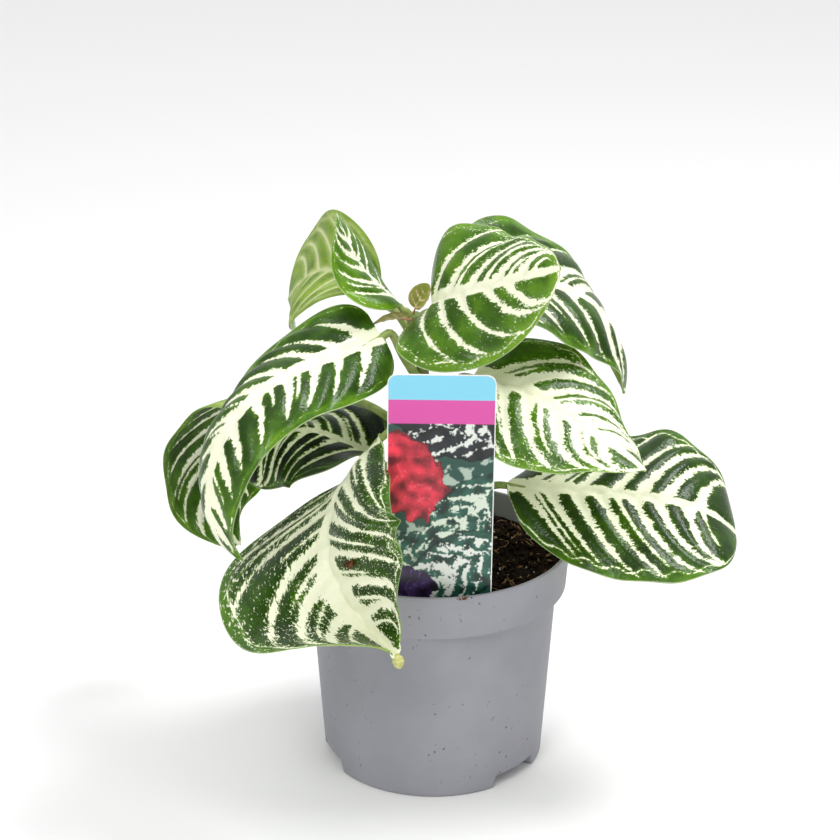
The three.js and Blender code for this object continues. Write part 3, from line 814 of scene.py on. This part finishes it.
def make_soil():
    """The rough soil surface and the root ball below it, clear of the pot's wall and drain recesses."""
    rings, spokes = 90, 260
    wall = POT["collar"] - POT["wall"] - 0.9
    angle = np.arange(spokes) * TAU / spokes
    verts = []
    for ring in range(rings):
        radius = wall * ((ring + 0.5) / (rings - 0.5)) ** 0.85
        for turn in angle:
            x, y = radius * math.cos(turn), radius * math.sin(turn)
            verts.append((x, y, soil_height(x, y)))
    inner_foot = POT["foot"] - POT["wall"]
    inner_shoulder = POT["shoulder"] - POT["wall"]
    root_ball = [(wall, 85.2), (inner_shoulder - 0.2, 84.2), (inner_shoulder - 0.8, 80), (inner_foot - 1, 13),
                 (inner_foot - 11.4, 7.4), (inner_foot - 12, 2), (0.5, 2)]
    for radius, z in root_ball:
        for turn in angle:
            verts.append((radius * math.cos(turn), radius * math.sin(turn), z))
    faces = grid_faces(rings + len(root_ball), spokes, wrap=True, flip=True)
    faces.append(list(range(spokes)))
    last = (rings + len(root_ball) - 1) * spokes
    faces.append(list(range(last, last + spokes))[::-1])
    dark = Shader("soil")
    where = dark.position()
    tone = dark.noise(where, 420, 6.0, 0.7)
    colour = dark.mix(dark.span(tone, 0.35, 0.65), (0.003, 0.002, 0.0015), (0.020, 0.012, 0.007))
    warm = dark.span(dark.noise(where, 900, 2.0), 0.66, 0.74)
    colour = dark.mix(dark.times(warm, 0.7), colour, (0.18, 0.10, 0.05))
    dark.set(base=colour, roughness=0.95, specular=0.06)
    dark.bump(tone, 0.9, 0.0012)
    new_piece("soil_bed", "soil", verts, faces, [dark], replaces="potting_soil")


def cube_sphere():
    """Directions to the corners, edge middles and face middles of a cube, and the quads between them."""
    places, faces = [], []
    for axis in range(3):
        for sign in (-1, 1):
            start = len(places)
            for a in (-1, 0, 1):
                for b in (-1, 0, 1):
                    place = [0, 0, 0]
                    place[axis], place[(axis + 1) % 3], place[(axis + 2) % 3] = sign, a, b
                    places.append(tuple(place))
            faces += grid_faces(3, 3, flip=sign > 0, start=start)
    kept = list(dict.fromkeys(places))
    faces = [[kept.index(places[index]) for index in face] for face in faces]
    return unit(np.asarray(kept, float)), faces


LUMP_CORNERS, LUMP_FACES = cube_sphere()


def crumb(rng, size, squash):
    """A small irregular lump, squashed and then turned at random."""
    verts = LUMP_CORNERS * rng.uniform(0.7, 1.2, (len(LUMP_CORNERS), 1)) * size * np.asarray(squash)
    turn = rng.uniform(0, TAU, 3)
    for axis in range(3):
        c, s = math.cos(turn[axis]), math.sin(turn[axis])
        first, second = [k for k in range(3) if k != axis]
        a, b = verts[:, first].copy(), verts[:, second].copy()
        verts[:, first] = c * a - s * b
        verts[:, second] = s * a + c * b
    return verts, LUMP_FACES


def scatter_crumbs(name, rng, count, sizes, squash, material, sink=0.35):
    """Lumps lying on the soil, with each lump's centre above it by sink times its size."""
    lumps = []
    wall = POT["collar"] - POT["wall"] - 1.2
    for _ in range(count):
        radius = wall * math.sqrt(rng.uniform(0.02, 1))
        turn = rng.uniform(0, TAU)
        x, y = radius * math.cos(turn), radius * math.sin(turn)
        size = rng.uniform(*sizes)
        if math.hypot(x, y) > wall - size:
            continue
        lump, quads = crumb(rng, size, squash)
        lumps.append((lump + (x, y, soil_height(x, y) + size * sink), quads))
    new_piece(name, "soil", *merged(lumps), [material])


def rough_material(name, colour, other, roughness=0.8):
    s = Shader(name)
    where = s.position()
    tone = s.noise(where, 900, 3.0)
    s.set(base=s.mix(s.span(tone, 0.3, 0.7), colour, other), roughness=roughness, specular=0.1)
    s.bump(tone, 0.6, 0.0004)
    return s


def make_loose_bits():
    """Crumbs of peat, bark and grit on the soil, and thin root fibres."""
    rng = np.random.default_rng(21)
    peat = rough_material("peat_crumb", (0.004, 0.003, 0.002), (0.026, 0.015, 0.009), 0.95)
    bark = rough_material("bark_chip", (0.16, 0.08, 0.035), (0.30, 0.17, 0.08))
    pale = rough_material("pale_grit", (0.55, 0.50, 0.40), (0.75, 0.70, 0.60))
    scatter_crumbs("peat_crumbs", rng, 1100, (0.5, 1.7), (1, 0.85, 0.7), peat)
    scatter_crumbs("bark_chips", rng, 260, (0.4, 1.2), (1.5, 0.6, 0.45), bark, 0.6)
    scatter_crumbs("pale_grit", rng, 110, (0.3, 0.8), (1, 0.9, 0.8), pale, 0.6)
    fibres = []
    for _ in range(60):
        radius = 50 * math.sqrt(rng.uniform(0.03, 1))
        turn = rng.uniform(0, TAU)
        start = np.array([radius * math.cos(turn), radius * math.sin(turn)])
        way = rng.uniform(0, TAU)
        points = []
        for step in range(6):
            way += rng.uniform(-0.7, 0.7)
            start = start + 1.6 * np.array([math.cos(way), math.sin(way)])
            if np.linalg.norm(start) > 54:
                start *= 54 / np.linalg.norm(start)
            points.append((*start, soil_height(*start) + 0.5 + rng.uniform(0, 0.7)))
        line = spline_points(points, 14)
        fibres.append(tube(line, np.interp(np.linspace(0, 1, 14), [0, 0.5, 1], [0.1, 0.2, 0.07]), 6))
    fibre = rough_material("root_fibre", (0.20, 0.10, 0.045), (0.42, 0.26, 0.13))
    new_piece("root_fibres", "soil", *merged(fibres), [fibre])


def make_stray_bits():
    """Crumbs of soil on the rim, the collar and a leaf, and the dried tip of the low front leaf."""
    rng = np.random.default_rng(5)
    peat = rough_material("stray_peat", (0.05, 0.02, 0.01), (0.20, 0.08, 0.04))
    lumps = []
    # centre, spread and number of each group on the pot
    spots = [((13.5, -58.6, 101.6), 2.0, 9), ((-47.5, -34.6, 81.6), 1.5, 7), ((47, -34.5, 101.9), 1.2, 4)]
    for centre, spread, count in spots:
        for _ in range(count):
            lump, quads = crumb(rng, rng.uniform(0.35, 0.8), (1.3, 0.7, 0.6))
            turn = math.atan2(centre[1], centre[0]) + rng.normal() * spread / POT["rim"]
            radius = math.hypot(centre[0], centre[1])
            place = (radius * math.cos(turn), radius * math.sin(turn), centre[2] + rng.normal() * 0.4)
            lumps.append((lump + place, quads))
    leaf = LEAVES["leaf_low_front"]
    surface = blade_surface(leaf, np.array([0.62, 1.0]), np.array([-0.34, 0.0]))
    for _ in range(7):
        lump, quads = crumb(rng, rng.uniform(0.6, 1.3), (2.4, 0.6, 0.5))
        scatter = rng.normal(size=3) * (1.8, 0.3, 0.5)
        lumps.append((lump + surface[0, 0] + scatter + (0, -1.2, 0), quads))
    new_piece("stray_soil_bits", "soil", *merged(lumps), [peat])
    dried = rough_material("dried_leaf_tip", (0.42, 0.46, 0.12), (0.62, 0.60, 0.28), 0.6)
    drop = np.array([(0, 0, 1.2), (0, 0, 0.4), (0.1, -0.1, -1.0), (0.3, -0.2, -2.6), (0.6, -0.3, -4.2),
                     (0.9, -0.4, -5.2)])
    line = spline_points(surface[1, 1] + drop, 24)
    radii = np.interp(np.linspace(0, 1, 24), [0, 0.25, 0.5, 0.8, 1], [0.6, 2.2, 2.5, 1.7, 0.3])
    verts, faces = tube(line, radii, 20)
    new_piece("dried_leaf_tip", "leaf_blade", verts, faces, [dried])


# ---- label ----
def label_outline():
    half = LABEL["width"] / 2
    top, bottom, corner = LABEL["top"], LABEL["bottom"], LABEL["corner"]
    stake, tip = LABEL["stake"] / 2, LABEL["stake_tip"]
    right = [(1, tip), (stake, tip + 12), (stake, bottom - 1), (half, bottom)]
    points = [(-x, z) for x, z in reversed(right)] + right
    for start, centre in ((0, half - corner), (90, corner - half)):
        for k in range(9):
            angle = math.radians(start + 11.25 * k)
            points.append((centre + corner * math.cos(angle), top - corner + corner * math.sin(angle)))
    return points


def label_place(x, z, forward):
    """From the label's own flat coordinates to the pot's frame; forward is towards the front."""
    height = z - LABEL["bottom"]
    lean = (LABEL["top_y"] - LABEL["bottom_y"]) / (LABEL["top"] - LABEL["bottom"])
    tilt = math.radians(LABEL["tilt"])
    return (LABEL["x"] + x * math.cos(tilt) + height * math.sin(tilt),
            LABEL["bottom_y"] + lean * height - forward,
            LABEL["bottom"] + height * math.cos(tilt) - x * math.sin(tilt))


def printed_leaf(x, z, base, angle, length, width, shape, seed, white):
    """A flat leaf of the print: which points are in it, its vein measure, and how far out they are."""
    leaf = dict(length=length, width=width, shape=shape, white=white)
    turn = math.radians(angle)
    dx, dz = x - base[0], z - base[1]
    along = dx * math.cos(turn) + dz * math.sin(turn)
    across = -dx * math.sin(turn) + dz * math.cos(turn)
    t = along / length
    width_here = half_width(leaf, np.clip(t, 0, 1))
    inside = (t > 0) & (t < 1) & (np.abs(across) < width_here)
    out = np.abs(across) / np.maximum(width_here, 0.01)
    rng = np.random.default_rng(seed)
    vein = 0.35 * white * (1 - np.clip(t, 0, 1)) + 0.12 - np.abs(across)
    for k in range(5):
        start = (0.04 + 0.17 * k + rng.uniform(-0.02, 0.02)) * length
        path = start + 0.30 * length * (0.55 * out + 0.45 * out**2.4)
        vein = np.maximum(vein, white * rng.uniform(0.6, 1.3) * (1 - out) ** 0.6 - np.abs(along - path) * 0.8)
    return inside, vein, out


def label_print(x, z):
    """Colours of the print: two plain bands over a made-up picture of mixed foliage."""
    def flat_noise(scale, slice_z):
        return np.array([noise.noise(Vector((a * scale, b * scale, slice_z))) for a, b in zip(x, z)])

    grain, fine, cloud = flat_noise(0.8, 2.0), flat_noise(2.1, 5.0), flat_noise(0.22, 9.0)
    patchy = np.clip((cloud + 0.25 * grain - 0.1) * 7, 0, 1)[:, None]
    colour = np.asarray((0.015, 0.07, 0.05)) * (1 - patchy) + np.asarray((0.40, 0.50, 0.42)) * patchy
    ink, red, plum, deep = (0.012, 0.016, 0.02), (0.55, 0.025, 0.05), (0.04, 0.018, 0.08), (0.015, 0.09, 0.06)
    white, rose, lilac, mint = (0.74, 0.77, 0.72), (0.80, 0.16, 0.20), (0.13, 0.09, 0.26), (0.66, 0.74, 0.62)
    slim, full = (0.5, 0.65), (0.4, 0.5)
    # body, pale colour, base, angle, length, half width, shape, seed, vein width
    layers = [
        (plum, lilac, (24, 176), 190, 24, 11, slim, 32, 0.15),
        (ink, white, (24, 168), 158, 50, 14, slim, 31, 1.5),
        (deep, mint, (-24, 116), 15, 30, 10, full, 37, 0.9),
        (red, rose, (-25, 172), -58, 46, 15, slim, 33, 0.16),
        (deep, mint, (23, 152), 232, 42, 13, full, 35, 1.7),
        (deep, white, (25, 124), 214, 44, 15, full, 36, 1.8),
        (plum, lilac, (-27, 97), 22, 26, 11, full, 34, 0.3),
    ]
    for body, pale, base, angle, length, width, shape, seed, veins in layers:
        x_here = x + 3.2 * cloud + 0.7 * grain
        z_here = z + 2.4 * cloud + 0.4 * fine
        inside, vein, out = printed_leaf(x_here, z_here, base, angle, length, width, shape, seed, veins)
        broken = (1.6 * grain + 0.8 * fine + 2.0 * cloud) * min(1, veins)
        level = np.clip((vein + broken) * 2.2 + 0.1, 0, 1)[:, None]
        shade = (1.15 - 0.5 * out + 1.3 * cloud + 0.25 * grain)[:, None]
        tone = np.asarray(body) * np.clip(shade, 0.25, 2) * (1 - level) + np.asarray(pale) * level
        tone = np.where((out > 0.95)[:, None], tone * 0.4, tone)
        colour = np.where(inside[:, None], tone, colour)
    drop = LABEL["top"] - z
    colour = np.where((drop < 21.6)[:, None], (0.66, 0.075, 0.36), colour)
    colour = np.where((drop < 11.2)[:, None], (0.22, 0.62, 0.80), colour)
    return np.clip(colour, 0, 1)


def make_label():
    """The plain card with its stake, and the print just in front of its face."""
    outline = label_outline()
    half = LABEL["thickness"] / 2
    count = len(outline)
    verts = [label_place(x, z, half) for x, z in outline] + [label_place(x, z, -half) for x, z in outline]
    faces = [list(range(count)), list(range(count, 2 * count))[::-1]]
    for k in range(count):
        after = (k + 1) % count
        faces.append([after, k, k + count, after + count])
    card = Shader("label_card")
    card.set(base=(0.86, 0.86, 0.84), roughness=0.35, specular=0.5)
    where = card.position()
    card.bump(card.noise(where, 300, 2.0), 0.1, 0.0002)
    body = new_piece("care_label", "label_card", verts, faces, [card], replaces="plant_label")
    for polygon in body.data.polygons:
        polygon.use_smooth = False
    inset = 0.4
    wide, low = LABEL["width"] / 2 - inset, LABEL["bottom"] + 1
    high = LABEL["top"] - inset
    columns, rows = 141, 340
    corner = LABEL["corner"] - inset
    flat = []
    for z in np.linspace(low, high, rows):
        drop = max(0, corner - (high - z))
        half_here = wide - (corner - math.sqrt(max(corner**2 - drop**2, 0)))
        for share in np.linspace(-1, 1, columns):
            flat.append((share * half_here, z))
    flat = np.asarray(flat)
    verts = [label_place(x, z, half + 0.06) for x, z in flat]
    ink = Shader("label_print")
    ink.set(base=ink.attribute("print", "Color"), roughness=0.32, specular=0.5)
    ink.bump(ink.noise(ink.position(), 300, 2.0), 0.08, 0.0002)
    new_piece("label_print", "label_card", verts, grid_faces(rows, columns), [ink],
              attributes=dict(print=label_print(flat[:, 0], flat[:, 1])))


# ---- the whole plant ----
def make_leaves():
    cream = (0.88, 0.90, 0.68)
    greens = ((0.002, 0.007, 0.001), (0.016, 0.048, 0.002), (0.058, 0.155, 0.005), (0.17, 0.34, 0.012))
    grown = [
        leaf_top("leaf_top_face", *greens, cream),
        leaf_under("leaf_under_face", (0.11, 0.21, 0.01), (0.24, 0.38, 0.025), (0.66, 0.72, 0.36)),
        plain_green("leaf_margin", (0.16, 0.32, 0.04), (0.28, 0.42, 0.09)),
        plain_green("leaf_stalk", (0.20, 0.30, 0.06), (0.36, 0.42, 0.14)),
    ]
    # Painted shade: a copy of the top finish with little sheen, for the low back left leaf, as if it lay in
    # shade.
    shaded = [leaf_top("leaf_shaded_top", *greens, cream, 0.08)] + grown[1:]
    young = [
        leaf_top("young_top_face", (0.06, 0.08, 0.008), (0.12, 0.17, 0.015), (0.22, 0.28, 0.03),
                 (0.40, 0.36, 0.10), (0.78, 0.56, 0.40)),
        leaf_under("young_under_face", (0.16, 0.17, 0.02), (0.28, 0.31, 0.06), (0.68, 0.52, 0.36)),
        plain_green("young_margin", (0.35, 0.16, 0.07), (0.45, 0.25, 0.10)),
        plain_green("young_stalk", (0.40, 0.10, 0.08), (0.45, 0.28, 0.12)),
    ]
    for name, leaf in LEAVES.items():
        if name.startswith("young"):
            make_leaf(name, leaf, young, "young_leaf")
        # painted shade: the low back left leaf takes the dull copy of the top finish
        elif name == "leaf_low_back_left":
            make_leaf(name, leaf, shaded, "leaf_blade")
        else:
            make_leaf(name, leaf, grown, "leaf_blade")


make_camera()
make_stage()
make_leaves()
make_stem()
make_pot()
make_soil()
make_loose_bits()
make_stray_bits()
make_label()
